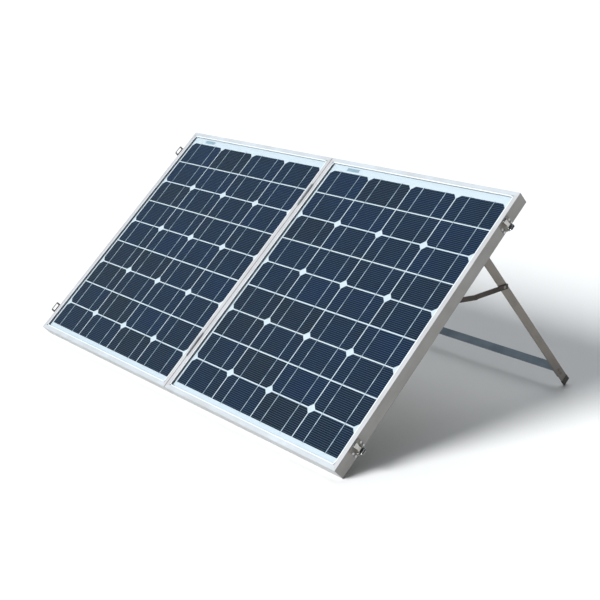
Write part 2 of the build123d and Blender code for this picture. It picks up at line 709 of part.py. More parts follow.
def latch_plates():
    """Base plates of both latches, each with two ears that carry the lever."""
    pivot_p, pivot_d = LEVER_PIVOT
    half = LATCH_HEIGHT / 2
    ear = [(LATCH_PLATE, pivot_d - 3.6), (pivot_p, pivot_d - EAR_RADIUS),
           (pivot_p, pivot_d + EAR_RADIUS), (LATCH_PLATE, pivot_d + 3.6)]
    with BuildPart() as plates:
        for _, centre in LATCH_CENTRES:
            block(1, -LATCH_PLATE, 0, centre - half, centre + half, 3.0, 25.5)
            for low in (centre - EAR_OUTSIDE, centre + EAR_INSIDE):
                high = low + EAR_OUTSIDE - EAR_INSIDE
                extrude(latch_sketch(1, high, ear), amount=high - low)
                latch_rod(1, LEVER_PIVOT, low, high, EAR_RADIUS)
                latch_rod(1, LEVER_PIVOT, low, high, LEVER_PIN_RADIUS, Mode.SUBTRACT)
            for s, d in catch_rivet_places(1):
                rod(1, -LATCH_PLATE, 0, s, d, RIVET_RADIUS, Mode.SUBTRACT)
        corners = plates.edges().filter_by(Axis.X).filter_by(
            lambda edge: abs(edge.length - LATCH_PLATE) < 0.01)
        fillet(corners, 2.0)
    return plates


def lever_pins():
    """Stub rivets that carry the levers in the ears of the latch plates."""
    with BuildPart() as pins:
        for _, centre in LATCH_CENTRES:
            for way in (-1, 1):
                ends = [centre + way * (LEVER_INSIDE - 0.1), centre + way * EAR_OUTSIDE]
                latch_rod(1, LEVER_PIVOT, min(ends), max(ends), LEVER_PIN_RADIUS)
                ends = [centre + way * EAR_OUTSIDE, centre + way * (EAR_OUTSIDE + 0.8)]
                latch_rod(1, LEVER_PIVOT, min(ends), max(ends), LEVER_PIN_RADIUS + 0.9)
    return pins


def latch_lever(centre):
    """Channel-shaped lever with a finger tab, and the cross pin that carries the claw."""
    pivot_p, pivot_d = LEVER_PIVOT
    front, rear = pivot_d - EAR_RADIUS, pivot_d + EAR_RADIUS
    cheek = [(pivot_p, front), (LEVER_REACH, front), (LEVER_REACH, front + 2.2),
             (LEVER_REACH - 4.5, rear), (pivot_p, rear)]
    tab = [(CLAW_PIN[0] + 1.6, front), (LEVER_REACH, front),
           (LEVER_REACH, front + 1.2), (CLAW_PIN[0] + 1.6, front + 1.2)]
    with BuildPart() as lever:
        for low in (centre - LEVER_OUTSIDE, centre + LEVER_INSIDE):
            high = low + LEVER_OUTSIDE - LEVER_INSIDE
            extrude(latch_sketch(1, high, cheek), amount=high - low)
            latch_rod(1, LEVER_PIVOT, low, high, EAR_RADIUS)
        extrude(latch_sketch(1, centre + LEVER_OUTSIDE, tab), amount=2 * LEVER_OUTSIDE)
        latch_rod(1, CLAW_PIN, centre - LEVER_OUTSIDE, centre + LEVER_OUTSIDE, CLAW_PIN_RADIUS)
        latch_rod(1, LEVER_PIVOT, centre - LEVER_OUTSIDE - 1, centre + LEVER_OUTSIDE + 1,
                  LEVER_PIN_RADIUS + RUNNING_CLEARANCE, Mode.SUBTRACT)
    return lever


def latch_claw(centre):
    """Hooked claw that turns on the lever's cross pin and draws the keeper in."""
    turn = radians(CLAW_ANGLE)
    outline = [(0, -CLAW_THICKNESS / 2), (CLAW_LENGTH, -CLAW_THICKNESS / 2),
               (CLAW_LENGTH, CLAW_NOSE), (CLAW_LENGTH - 1.6, CLAW_NOSE),
               (CLAW_LENGTH - 1.6, CLAW_THICKNESS / 2), (0, CLAW_THICKNESS / 2)]
    corners = []
    for u, v in outline:
        p = CLAW_PIN[0] + u * cos(turn) + v * sin(turn)
        d = CLAW_PIN[1] + u * sin(turn) - v * cos(turn)
        corners.append((p, d))
    with BuildPart() as claw:
        extrude(latch_sketch(1, centre + CLAW_HALF_WIDTH, corners), amount=2 * CLAW_HALF_WIDTH)
        latch_rod(1, CLAW_PIN, centre - CLAW_HALF_WIDTH, centre + CLAW_HALF_WIDTH, 2.2)
        latch_rod(1, CLAW_PIN, centre - CLAW_HALF_WIDTH - 1, centre + CLAW_HALF_WIDTH + 1,
                  CLAW_PIN_RADIUS + RUNNING_CLEARANCE, Mode.SUBTRACT)
    return claw


def keepers():
    """Keepers on the left panel: joggled plates whose loops stand in front of the frame."""
    t, out = KEEPER_THICKNESS, KEEPER_STANDOFF
    section = [(0, 16), (t, 16), (t, 3.6), (out + t, 1.0), (out + t, -KEEPER_RISE),
               (out, -KEEPER_RISE), (out, 0.4), (0, 3.0)]
    half = KEEPER_WIDTH / 2
    with BuildPart() as catches:
        for _, centre in LATCH_CENTRES:
            extrude(latch_sketch(-1, centre + half, section), amount=KEEPER_WIDTH)
            block(-1, -out - t - 1, -out + 1, centre - KEEPER_WINDOW / 2,
                  centre + KEEPER_WINDOW / 2, t - KEEPER_RISE, -0.6, Mode.SUBTRACT)
        tips = catches.edges().filter_by(Axis.X).group_by(Axis((0, 0, 0), tuple(FRONT)))[-1]
        fillet(tips, 3.0)
        for s, d in catch_rivet_places(-1):
            rod(-1, -t, 0, s, d, RIVET_RADIUS, Mode.SUBTRACT)
    return catches


# ---------------------------------------------------------------- make and write every sub-part
for side_name, side in SIDES:
    save(side_rail(side, inner=False), f"{side_name}_outer_rail")
    save(side_rail(side, inner=True), f"{side_name}_seam_rail")
    save(cross_rail(side, top=True), f"{side_name}_top_rail")
    save(cross_rail(side, top=False), f"{side_name}_bottom_rail")
    save(corner_keys(side), f"{side_name}_corner_keys")
    save(sheet(side, LAMINATE_INSET, GLASS_FRONT, GLASS_REAR), f"{side_name}_glass")
    save(sheet(side, LAMINATE_INSET, BACKSHEET_FRONT, BACKSHEET_REAR), f"{side_name}_backsheet")
    save(edge_seal(side), f"{side_name}_edge_seal")
    save(cells(side), f"{side_name}_cells")
    save(ribbons(side), f"{side_name}_ribbons")
    save(serial_label(side), f"{side_name}_blank_label")
    save(junction_box(side), f"{side_name}_junction_box")
    save(junction_box_lid(side), f"{side_name}_junction_box_lid")
    save(terminal_block(side), f"{side_name}_terminals_and_diodes")
    save(cable_glands(side), f"{side_name}_cable_glands")
    save(hinge_leaves(side), f"{side_name}_hinge_leaves")
    save(pivot_studs(side), f"{side_name}_pivot_studs")
    save(panel_rivets(side), f"{side_name}_frame_rivets")
    save(leg_bar(side, inner=False), f"{side_name}_outer_leg")
    save(leg_bar(side, inner=True), f"{side_name}_inner_leg")
    save(crossbar(side), f"{side_name}_leg_crossbar")
    save(leg_end_caps(side), f"{side_name}_leg_end_caps")
    save(leg_rivets(side), f"{side_name}_leg_rivets")
    rail_pivot = (LEG_PIVOT_S - STAY_RAIL_REACH, LEG_PIVOT_D)
    save(stay_links(side, RAIL_LINK_INSET, rail_pivot, RAIL_LINK_LENGTH, 0, True),
         f"{side_name}_rail_links")
    save(stay_links(side, LEG_LINK_INSET, leg_place(STAY_LEG_REACH), LEG_LINK_LENGTH,
                    STAY_TAIL, False), f"{side_name}_leg_links")

save(hinge_pins(), "hinge_pins")
save(latch_plates(), "latch_plates")
save(lever_pins(), "latch_lever_pins")
save(keepers(), "keepers")
for name, centre in LATCH_CENTRES:
    save(latch_lever(centre), f"{name}_latch_lever")
    save(latch_claw(centre), f"{name}_latch_claw")

# ---------------------------------------------------------------- places for the joints, metres
rail_turn = 180 - direction((LEG_PIVOT_S - STAY_RAIL_REACH, LEG_PIVOT_D), elbow())
leg_turn = direction(leg_place(STAY_LEG_REACH), elbow())
print("tilt", degrees(tilt), "elbow", elbow(), "rail link turn", rail_turn, "leg link", leg_turn)
places = {
    "seam axis": point(SEAM_X, HINGE_CENTRES[0], -HINGE_AXIS_HEIGHT),
    "leg pivot": point(panel_x(1, LEG_INSET), LEG_PIVOT_S, LEG_PIVOT_D),
    "rail link pivot": point(panel_x(1, RAIL_LINK_INSET), *rail_pivot),
    "leg link pivot": point(panel_x(1, LEG_LINK_INSET), *leg_place(STAY_LEG_REACH)),
}
for centre in LATCH_CENTRES:
    places[f"{centre[0]} lever"] = point(panel_x(1, -LEVER_PIVOT[0]), centre[1], LEVER_PIVOT[1])
    places[f"{centre[0]} claw"] = point(panel_x(1, -CLAW_PIN[0]), centre[1], CLAW_PIN[1])
for name, place in places.items():
    print(name, [round(value / 1000, 6) for value in place])
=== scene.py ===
# %% [markdown]
# # A folding solar charging kit
# Two framed solar panels share one hinged seam. Each stands on its own rear leg frame, and
# two draw latches on the outer edge hold the folded kit shut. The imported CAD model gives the
# true sizes and the joints, so this lesson never moves a CAD part: it gives each one the
# finish of its real material and makes new surfaces only where the real part is rounder or
# finer than the CAD solid.

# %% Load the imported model
import json
import math

import bmesh
import bpy
import numpy as np
from mathutils import Matrix, Vector


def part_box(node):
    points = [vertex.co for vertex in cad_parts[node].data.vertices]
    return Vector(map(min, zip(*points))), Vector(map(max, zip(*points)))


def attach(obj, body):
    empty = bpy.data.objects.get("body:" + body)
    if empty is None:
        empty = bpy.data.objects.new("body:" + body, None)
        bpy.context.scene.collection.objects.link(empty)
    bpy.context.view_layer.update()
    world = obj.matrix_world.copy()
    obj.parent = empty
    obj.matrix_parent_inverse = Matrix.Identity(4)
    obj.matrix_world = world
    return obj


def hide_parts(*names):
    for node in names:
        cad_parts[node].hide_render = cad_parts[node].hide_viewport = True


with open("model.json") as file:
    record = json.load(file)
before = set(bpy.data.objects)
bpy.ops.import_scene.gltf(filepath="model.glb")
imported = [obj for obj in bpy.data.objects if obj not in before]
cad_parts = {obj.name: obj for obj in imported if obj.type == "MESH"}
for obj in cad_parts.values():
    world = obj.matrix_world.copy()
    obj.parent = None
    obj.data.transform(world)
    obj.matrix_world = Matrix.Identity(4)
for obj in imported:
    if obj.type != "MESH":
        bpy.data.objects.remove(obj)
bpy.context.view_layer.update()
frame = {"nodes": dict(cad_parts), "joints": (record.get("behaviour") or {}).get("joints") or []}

# %% [markdown]
# ## Directions of a leaning panel
# The seam's hinge axis is one of the record's joints, and it already points up the slope,
# so the tilt is read from it and typed nowhere.

# %% From panel millimetres to world metres
MM = 0.001
PANEL_WIDTH, PANEL_HEIGHT, SEAM_GAP = 542.0, 636.0, 1.5
HINGE_S, HINGE_D = 110.0, -2.3
SIDES = {"right": 1, "left": -1}

joints = {joint["name"]: joint for joint in frame["joints"]}
ACROSS = np.array([1.0, 0.0, 0.0])
UP_SLOPE = np.array(joints["seam_fold"]["axis"])
OUT = np.cross(ACROSS, UP_SLOPE)
TILT = math.atan2(UP_SLOPE[2], UP_SLOPE[1])
hinge_place = np.array(joints["seam_fold"]["pos_m"])
SEAM_X = hinge_place[0] / MM
LOWER_EDGE = hinge_place - MM * (SEAM_X * ACROSS + HINGE_S * UP_SLOPE - HINGE_D * OUT)


def place(x, s, d):
    """World point: the lower edge, plus x across, s up the slope and minus d along the
    outward direction."""
    x, s, d = (np.asarray(value, float)[..., None] for value in (x, s, d))
    return LOWER_EDGE + MM * (x * ACROSS + s * UP_SLOPE - d * OUT)


def panel_x(side, w):
    """x of a place w inwards from the outer edge of one panel: the seam, plus or minus the
    rest of the width."""
    return SEAM_X + SIDES[side] * (SEAM_GAP / 2 + PANEL_WIDTH - np.asarray(w, float))


print("tilt of the panels", round(math.degrees(TILT), 2), "degrees")

# %% [markdown]
# ## Camera
# A long lens from the right and a little above, as a catalogue picture is taken. The frame
# is moved slightly off the optical axis by the lens shift, which keeps the perspective of
# the camera's place and only slides the picture.

# %% Camera
CAMERA_PLACE = (1.9015, -1.5072, 0.8885)
CAMERA_TURN, CAMERA_DIP, CAMERA_ROLL = 49.958, -16.025, -1.065
CAMERA_LENS, CAMERA_SENSOR, CAMERA_SHIFT = 67.95, 36.0, (-0.0334, -0.0378)

scene = bpy.context.scene
camera_data = bpy.data.cameras.new("camera")
camera_data.lens = CAMERA_LENS
camera_data.sensor_width = CAMERA_SENSOR
camera_data.shift_x, camera_data.shift_y = CAMERA_SHIFT
camera = bpy.data.objects.new("camera", camera_data)
turn = Matrix.Rotation(math.radians(CAMERA_TURN), 4, "Z")
dip = Matrix.Rotation(math.radians(90 + CAMERA_DIP), 4, "X")
roll = Matrix.Rotation(math.radians(CAMERA_ROLL), 4, "Z")
camera.matrix_world = Matrix.Translation(CAMERA_PLACE) @ turn @ dip @ roll
scene.collection.objects.link(camera)
scene.camera = camera

# %% [markdown]
# ## Two helpers for materials
# Colours are easiest to pick as the hex codes of a screen, but shaders work in linear light,
# so one function converts them. Every pattern is a small network of nodes, and one function
# adds a node with its settings, its unlinked values and its links.


# %% Colour and node helpers
def linear(code):
    """Linear RGBA of an sRGB hex code: small values divide by 12.92, the rest follow the
    2.4 power curve."""
    srgb = np.array([int(code[i:i + 2], 16) for i in (1, 3, 5)]) / 255
    curve = np.where(srgb <= 0.04045, srgb / 12.92, ((srgb + 0.055) / 1.055) ** 2.4)
    return (*curve.tolist(), 1.0)


def add(tree, kind, values=None, links=None, **settings):
    """Adds one node: settings are its properties, values its unlinked sockets, links its
    linked sockets."""
    made = tree.nodes.new(kind)
    for name, value in settings.items():
        setattr(made, name, value)
    for socket, value in (values or {}).items():
        made.inputs[socket].default_value = value
    for socket, source in (links or {}).items():
        output = source.outputs[0] if isinstance(source, bpy.types.Node) else source
        tree.links.new(output, made.inputs[socket])
    return made


def start(name, values):
    """A new material with one Principled shader, whose plain values are set on its own
    sockets."""
    material = bpy.data.materials.new(name)
    material.use_nodes = True
    tree = material.node_tree
    shader = tree.nodes["Principled BSDF"]
    for socket, value in values.items():
        shader.inputs[socket].default_value = value
    return material, tree, shader


def wear(node_names, material):
    """Puts one material on every slot of the named CAD nodes, whose meshes stay as they are."""
    for name in node_names:
        data = frame["nodes"][name].data
        data.materials.clear()
        data.materials.append(material)


# %% [markdown]
# ## Anodised aluminium frame
# The rails are extruded, etched satin and anodised clear. That leaves a pale, even metal
# with very fine draw lines along each rail and slow cloudy changes from the etching bath.
# The draw lines run along the rail, so side rails and cross rails need the same noise
# stretched in two directions. A Mapping node of the Texture kind first turns the pattern
# into the panel's own directions and then divides by the size of one grain.


# %% Frame finish
CLOUDS_PER_METRE = 22.0
DRAW_STRENGTH, DRAW_DEPTH = 0.12, 0.0002
SIDE_GRAIN, CROSS_GRAIN = (1.4, 160, 1.4), (160, 1.4, 1.4)


def drawn_metal(name, grain, dark, light, values, turn=TILT, spread=0.08):
    """Metal with lines along one direction: noise in coordinates divided by the grain's size
    (mm) on each axis, mixed with slow cloudiness, chooses a colour between dark and light
    and moves the roughness."""
    material, tree, shader = start(name, values)
    metres = add(tree, "ShaderNodeTexCoord").outputs["Object"]
    lines = add(tree, "ShaderNodeMapping",
                {"Rotation": (turn, 0, 0), "Scale": [MM * size for size in grain]},
                {"Vector": metres}, vector_type="TEXTURE")
    streaks = add(tree, "ShaderNodeTexNoise", {"Scale": 1.0, "Detail": 3.0, "Roughness": 0.6},
                  {"Vector": lines})
    clouds = add(tree, "ShaderNodeTexNoise", {"Scale": CLOUDS_PER_METRE, "Detail": 2.0},
                 {"Vector": metres})
    blend = add(tree, "ShaderNodeMath", {1: 0.5}, {0: streaks, 2: clouds},
                operation="MULTIPLY_ADD")
    tone = add(tree, "ShaderNodeMapRange", {"From Min": 0.5, "From Max": 1.0}, {"Value": blend})
    colour = add(tree, "ShaderNodeMixRGB", {"Color1": linear(dark), "Color2": linear(light)},
                 {"Fac": tone})
    base = values["Roughness"]
    gloss = add(tree, "ShaderNodeMapRange", {"To Min": base - spread, "To Max": base + spread},
                {"Value": streaks})
    relief = add(tree, "ShaderNodeBump", {"Strength": DRAW_STRENGTH, "Distance": DRAW_DEPTH},
                 {"Height": streaks})
    tree.links.new(colour.outputs[0], shader.inputs["Base Color"])
    tree.links.new(gloss.outputs[0], shader.inputs["Roughness"])
    tree.links.new(relief.outputs[0], shader.inputs["Normal"])
    return material


ANODISED = {"Metallic": 0.15, "Roughness": 0.5, "Specular IOR Level": 0.35}
# The side rails are painted a little darker and warmer than the cross rails: painted shade for
# their outer walls, which face away from the lamp.
side_rail_metal = drawn_metal("satin_anodised_side_rail", SIDE_GRAIN, "#9F9C99", "#ABA9A7",
                              ANODISED)
cross_rail_metal = drawn_metal("satin_anodised_cross_rail", CROSS_GRAIN, "#A3A4A3", "#AFB2B3",
                               ANODISED)
for side in SIDES:
    wear([f"{side}_outer_rail", f"{side}_seam_rail"], side_rail_metal)
    wear([f"{side}_top_rail", f"{side}_bottom_rail"], cross_rail_metal)

# %% [markdown]
# ## Solar glass
# The cover is 3.2 mm low-iron tempered glass with a faint rolled texture and a coat that
# makes it mirror less than plain glass. Modelling it as refracting glass would make every
# lamp's light a caustic, which is slow and dark. A pane this thin bends nothing that
# matters, so it is a see-through shader mixed with a glossy one by Fresnel. Only the front
# surface mirrors: behind the rear one lies bonded film, so the mirror is switched off where
# a ray leaves the glass from inside.

# %% Glass finish
GLASS_IOR = 1.3              # plain glass is 1.52; solar glass is coated against reflection
ROLLED_PER_METRE = 420.0
glass, tree, shader = start("rolled_low_iron_glass", {})
tree.nodes.remove(shader)
metres = add(tree, "ShaderNodeTexCoord").outputs["Object"]
rolled = add(tree, "ShaderNodeTexNoise", {"Scale": ROLLED_PER_METRE, "Detail": 2.0},
             {"Vector": metres})
relief = add(tree, "ShaderNodeBump", {"Strength": 0.08, "Distance": 0.0003},
             {"Height": rolled})
mirror = add(tree, "ShaderNodeFresnel", {"IOR": GLASS_IOR})
inside = add(tree, "ShaderNodeNewGeometry").outputs["Backfacing"]
outside = add(tree, "ShaderNodeMath", {0: 1.0}, {1: inside}, operation="SUBTRACT")
share = add(tree, "ShaderNodeMath", None, {0: mirror, 1: outside}, operation="MULTIPLY")
clear = add(tree, "ShaderNodeBsdfTransparent", {"Color": linear("#F6FAFB")})
gleam = add(tree, "ShaderNodeBsdfGlossy", {"Color": linear("#FFFFFF"), "Roughness": 0.12},
            {"Normal": relief})
pane = add(tree, "ShaderNodeMixShader", None, {0: share, 1: clear, 2: gleam})
tree.links.new(pane.outputs[0], tree.nodes["Material Output"].inputs["Surface"])
wear([f"{side}_glass" for side in SIDES], glass)

# %% [markdown]
# ## Backsheet
# The rear film is white polyester. In front it lies under glass and resin, where the strong
# cool lamp falls, and there it is painted a little darker and warmer: painted shade. From
# behind, where it lies in shade, it is matt and painted lighter: painted light. The laminator
# has pressed it down around the cells, so their grid shows as a faint relief. One solid has
# both faces, and the depth behind the front plane tells them apart.

# %% Backsheet finish
COLUMN_PITCH, ROW_PITCH = 127.5, 65.25
GRID_SIDE, GRID_BOTTOM = 16.0, 21.75
GRID_WIDTH = 4 * COLUMN_PITCH
BACKSHEET_FRONT, BACKSHEET_REAR = 5.8, 6.4
DEPTH_SLACK = 0.2
GROOVE_FLOOR, GROOVE_EDGE = 0.6, 2.4
FILM_RELIEF = 0.00025


def grid_coordinates(tree, side, divide=(1.0, 1.0, 1.0)):
    """Object coordinates in the panel's directions, in mm from the lower left corner of the
    cell grid."""
    left = min(panel_x(side, [GRID_SIDE, GRID_SIDE + GRID_WIDTH]))
    metres = add(tree, "ShaderNodeTexCoord").outputs["Object"]
    return add(tree, "ShaderNodeMapping",
               {"Location": place(left, GRID_BOTTOM, 0.0).tolist(), "Rotation": (TILT, 0, 0),
                "Scale": [MM * size for size in divide]},
               {"Vector": metres}, vector_type="TEXTURE")


def backsheet(side):
    """White film, painted a little darker in front, where the lamp is strong, than behind,
    where it lies in shade, with grooves where either cell coordinate comes near a gap."""
    material, tree, shader = start(f"white_polyester_film_{side}", {"Roughness": 0.55})
    parts = add(tree, "ShaderNodeSeparateXYZ", None, {0: grid_coordinates(tree, side)})
    behind = add(tree, "ShaderNodeMapRange",
                 {"From Min": -BACKSHEET_FRONT - DEPTH_SLACK,
                  "From Max": -BACKSHEET_REAR + DEPTH_SLACK},
                 {"Value": parts.outputs["Z"]})
    gaps = []
    for axis, pitch in (("X", COLUMN_PITCH), ("Y", ROW_PITCH)):
        near = add(tree, "ShaderNodeMath", {1: pitch / 2}, {0: parts.outputs[axis]},
                   operation="PINGPONG")
        gaps.append(add(tree, "ShaderNodeMapRange",
                        {"From Min": GROOVE_FLOOR, "From Max": GROOVE_EDGE}, {"Value": near}))
    raised = add(tree, "ShaderNodeMath", None, {0: gaps[0], 1: gaps[1]}, operation="MINIMUM")
    grain = add(tree, "ShaderNodeTexNoise", {"Scale": 300.0, "Detail": 3.0},
                {"Vector": add(tree, "ShaderNodeTexCoord").outputs["Object"]})
    height = add(tree, "ShaderNodeMath", {1: 0.15}, {0: grain, 2: raised},
                 operation="MULTIPLY_ADD")
    relief = add(tree, "ShaderNodeBump", {"Strength": 0.5, "Distance": FILM_RELIEF},
                 {"Height": height})
    shown = add(tree, "ShaderNodeMixRGB",
                {"Color1": linear("#C8CCCD"), "Color2": linear("#BFC3C4")}, {"Fac": raised})
    # painted shade and light: the front face gets the darker, warmer colour, the rear in shade
    # the lighter film colours
    colour = add(tree, "ShaderNodeMixRGB", {"Color1": linear("#C3C1C1")},
                 {"Fac": behind, "Color2": shown})
    tree.links.new(colour.outputs[0], shader.inputs["Base Color"])
    tree.links.new(relief.outputs[0], shader.inputs["Normal"])
    return material


for side in SIDES:
    wear([f"{side}_backsheet"], backsheet(side))

# %% [markdown]
# ## Monocrystalline cells
# Each half cell is a slice of a single silicon crystal with a blue anti-reflection coat and
# printed silver fingers. The coat's thickness differs a little from wafer to wafer, so each
# cell has its own shade between navy and charcoal: the integer part of the grid coordinates
# names a cell, and a White Noise node turns that name into a steady random number. Real
# fingers are 0.1 mm wide every 2 mm, too fine to show at the size of a picture, so they are
# drawn coarser.

# %% Cell finish
FINGER_PITCH = 4.17          # a real pitch is half of this
FINGER_HALF_WIDTH, FINGER_BLUR = 0.45, 0.15
FINGER_SHARE = 0.45          # how much of the finger's colour shows
LAYER = 10.0                 # deeper than a wafer, so depth never starts a new cell number


def cell(side):
    """Silicon: cell number = floor(x / column pitch), floor(s / row pitch); its noise picks
    the shade. A finger is drawn where the distance to the nearest multiple of the pitch is
    under half its width."""
    material, tree, shader = start(f"coated_silicon_cell_{side}",
                                   {"Roughness": 0.35, "Specular IOR Level": 0.1})
    numbers = add(tree, "ShaderNodeVectorMath", None,
                  {0: grid_coordinates(tree, side, (COLUMN_PITCH, ROW_PITCH, LAYER))},
                  operation="FLOOR")
    lot = add(tree, "ShaderNodeTexWhiteNoise", None, {"Vector": numbers})
    where = grid_coordinates(tree, side)
    clouds = add(tree, "ShaderNodeTexNoise", {"Scale": 0.012, "Detail": 2.0}, {"Vector": where})
    shade = add(tree, "ShaderNodeMath", {1: 0.6}, {0: lot, 2: clouds},
                operation="MULTIPLY_ADD")
    tone = add(tree, "ShaderNodeMapRange", {"From Min": 0.35, "From Max": 1.15},
               {"Value": shade})
    silicon = add(tree, "ShaderNodeMixRGB",
                  {"Color1": linear("#03142B"), "Color2": linear("#0E1015")}, {"Fac": tone})
    up = add(tree, "ShaderNodeSeparateXYZ", None, {0: where}).outputs["Y"]
    off = add(tree, "ShaderNodeMath", {1: FINGER_PITCH / 2}, {0: up}, operation="PINGPONG")
    finger = add(tree, "ShaderNodeMapRange",
                 {"From Min": FINGER_HALF_WIDTH - FINGER_BLUR,
                  "From Max": FINGER_HALF_WIDTH + FINGER_BLUR,
                  "To Min": FINGER_SHARE, "To Max": 0.0}, {"Value": off})
    colour = add(tree, "ShaderNodeMixRGB", {"Color2": linear("#5F7388")},
                 {"Fac": finger, "Color1": silicon})
    tree.links.new(colour.outputs[0], shader.inputs["Base Color"])
    return material


for side in SIDES:
    wear([f"{side}_cells"], cell(side))

# %% [markdown]
# ## Tinned ribbons
# Flat copper ribbon, dipped in solder, carries the current up each column. Solder sets in
# small waves. The metal is half glossy, with a bump that is long along the ribbon, and its
# colour goes from grey to near white along the same waves: partly the solder's own tone and
# partly painted glints.

# %% Ribbon finish
WAVE_SIZE = (8, 22, 8)
ribbon, tree, shader = start("tinned_copper_ribbon", {"Metallic": 0.75, "Roughness": 0.35})
metres = add(tree, "ShaderNodeTexCoord").outputs["Object"]
waves = add(tree, "ShaderNodeMapping",
            {"Rotation": (TILT, 0, 0), "Scale": [MM * size for size in WAVE_SIZE]},
            {"Vector": metres}, vector_type="TEXTURE")
solder = add(tree, "ShaderNodeTexNoise", {"Scale": 1.0, "Detail": 3.0}, {"Vector": waves})
tone = add(tree, "ShaderNodeMapRange", {"From Min": 0.35, "From Max": 0.65}, {"Value": solder})
# grey to near white along the solder waves: the solder's own tone plus painted glints
colour = add(tree, "ShaderNodeMixRGB",
             {"Color1": linear("#A3ADB5"), "Color2": linear("#F4F7F9")}, {"Fac": tone})
relief = add(tree, "ShaderNodeBump", {"Strength": 0.9, "Distance": 0.0012}, {"Height": solder})
tree.links.new(colour.outputs[0], shader.inputs["Base Color"])
tree.links.new(relief.outputs[0], shader.inputs["Normal"])
wear([f"{side}_ribbons" for side in SIDES], ribbon)

# %% [markdown]
# ## Legs, crossbars and steel
# The legs are flat aluminium bar left as rolled, duller and darker than the frame. Their
# rolling lines follow the leg, so the pattern is turned to the leg's own direction. The
# stays are steel with a dark passivated zinc coat, the keepers and latch plates plain steel,
# the rivets and hinges bright zinc, and the latch levers and claws nickel plated.

# %% Bar and steel finishes
LEG_OPEN = math.radians(joints["right_leg_fold"]["range_deg"][1])
LEG_TURN = TILT + LEG_OPEN + math.pi
LEG_GRAIN, CROSSBAR_GRAIN = (1.2, 120, 1.2), (120, 1.2, 1.2)
leg_metal = drawn_metal("mill_finish_aluminium_bar", LEG_GRAIN, "#857E77", "#979088",
                        {"Metallic": 0.25, "Roughness": 0.5, "Specular IOR Level": 0.4},
                        LEG_TURN)
# The crossbar is painted blue-grey, unlike the legs' warm bar: a painted tint of the sky light
# that reaches it in the panel's shadow.
crossbar_metal = drawn_metal("mill_finish_aluminium_crossbar", CROSSBAR_GRAIN,
                             "#757F86", "#8F999F", {"Metallic": 0.5, "Roughness": 0.42},
                             LEG_TURN)
stay_steel = drawn_metal("dark_passivated_steel", (6, 6, 6), "#35302C", "#4A443F",
                         {"Metallic": 0.7, "Roughness": 0.48}, TILT)
keeper_steel = drawn_metal("plain_dark_steel", (5, 5, 5), "#7D7872", "#96918B",
                           {"Metallic": 0.55, "Roughness": 0.42}, TILT)
zinc_steel = drawn_metal("bright_zinc_plate", (4, 4, 4), "#A7ABAE", "#D2D5D6",
                         {"Metallic": 0.85, "Roughness": 0.34}, TILT)
dull_steel = drawn_metal("dull_zinc_rivet", (4, 4, 4), "#77736D", "#8D8983",
                         {"Metallic": 0.5, "Roughness": 0.5}, TILT)
nickel_steel = drawn_metal("dull_nickel_plate", (5, 5, 5), "#98958F", "#C9C8C5",
                           {"Metallic": 1.0, "Roughness": 0.2}, TILT, 0.05)
for side in SIDES:
    wear([f"{side}_outer_leg", f"{side}_inner_leg"], leg_metal)
    wear([f"{side}_leg_crossbar"], crossbar_metal)
    wear([f"{side}_rail_links", f"{side}_leg_links"], stay_steel)
    wear([f"{side}_hinge_leaves", f"{side}_frame_rivets"], zinc_steel)
    wear([f"{side}_pivot_studs", f"{side}_leg_rivets"], dull_steel)
wear(["hinge_pins"], zinc_steel)
wear(["keepers", "latch_plates"], keeper_steel)
wear(["latch_lever_pins"], nickel_steel)

# %% [markdown]
# ## Plastics, rubber, sealant and small metal
# Moulded parts carry the fine spark-eroded grain of their mould. The grain is a noise a few
# tenths of a millimetre wide that drives the bump and a slight change of shade.


# %% Moulded and cast finishes
def moulded(name, dark, light, grain, values, depth=0.00015):
    """Grainy solid: noise one grain (mm) wide mixes two near shades and lifts the surface by
    the depth."""
    material, tree, shader = start(name, values)
    metres = add(tree, "ShaderNodeTexCoord").outputs["Object"]
    speck = add(tree, "ShaderNodeTexNoise", {"Scale": 1 / (grain * MM), "Detail": 2.0},
                {"Vector": metres})
    colour = add(tree, "ShaderNodeMixRGB", {"Color1": linear(dark), "Color2": linear(light)},
                 {"Fac": speck})
    relief = add(tree, "ShaderNodeBump", {"Strength": 0.35, "Distance": depth},
                 {"Height": speck})
    tree.links.new(colour.outputs[0], shader.inputs["Base Color"])
    tree.links.new(relief.outputs[0], shader.inputs["Normal"])
    return material


box_plastic = moulded("moulded_black_ppo", "#141516", "#242628", 0.8, {"Roughness": 0.42})
gland_nylon = moulded("moulded_black_nylon", "#17181A", "#222427", 0.6, {"Roughness": 0.5})
cap_plastic = moulded("soft_pvc_cap", "#534D46", "#655E56", 0.9, {"Roughness": 0.6})
sealant = moulded("grey_silicone_sealant", "#C9CCCD", "#DADCDC", 3.0, {"Roughness": 0.35})
cast_zinc = moulded("die_cast_zinc", "#7C7E80", "#97999B", 1.2,
                    {"Metallic": 0.8, "Roughness": 0.5})
brass = moulded("turned_brass", "#9A7B3C", "#C3A45C", 1.0,
                {"Metallic": 1.0, "Roughness": 0.3})
label_film = moulded("blank_label_film", "#7E8A92", "#98A4AB", 4.0, {"Roughness": 0.4})
for side in SIDES:
    wear([f"{side}_junction_box"], box_plastic)
    wear([f"{side}_edge_seal"], sealant)
    wear([f"{side}_corner_keys"], cast_zinc)
    wear([f"{side}_terminals_and_diodes"], brass)
    wear([f"{side}_blank_label"], label_film)

# %% [markdown]
# ## From rings of points to a closed surface
# The new pieces are all lofts: a closed ring of points is carried along a path and changes
# on the way. With the rings in one array, the quads come from index arithmetic alone. The
# rings either meet again, as a bead round a box does, or end in two caps.


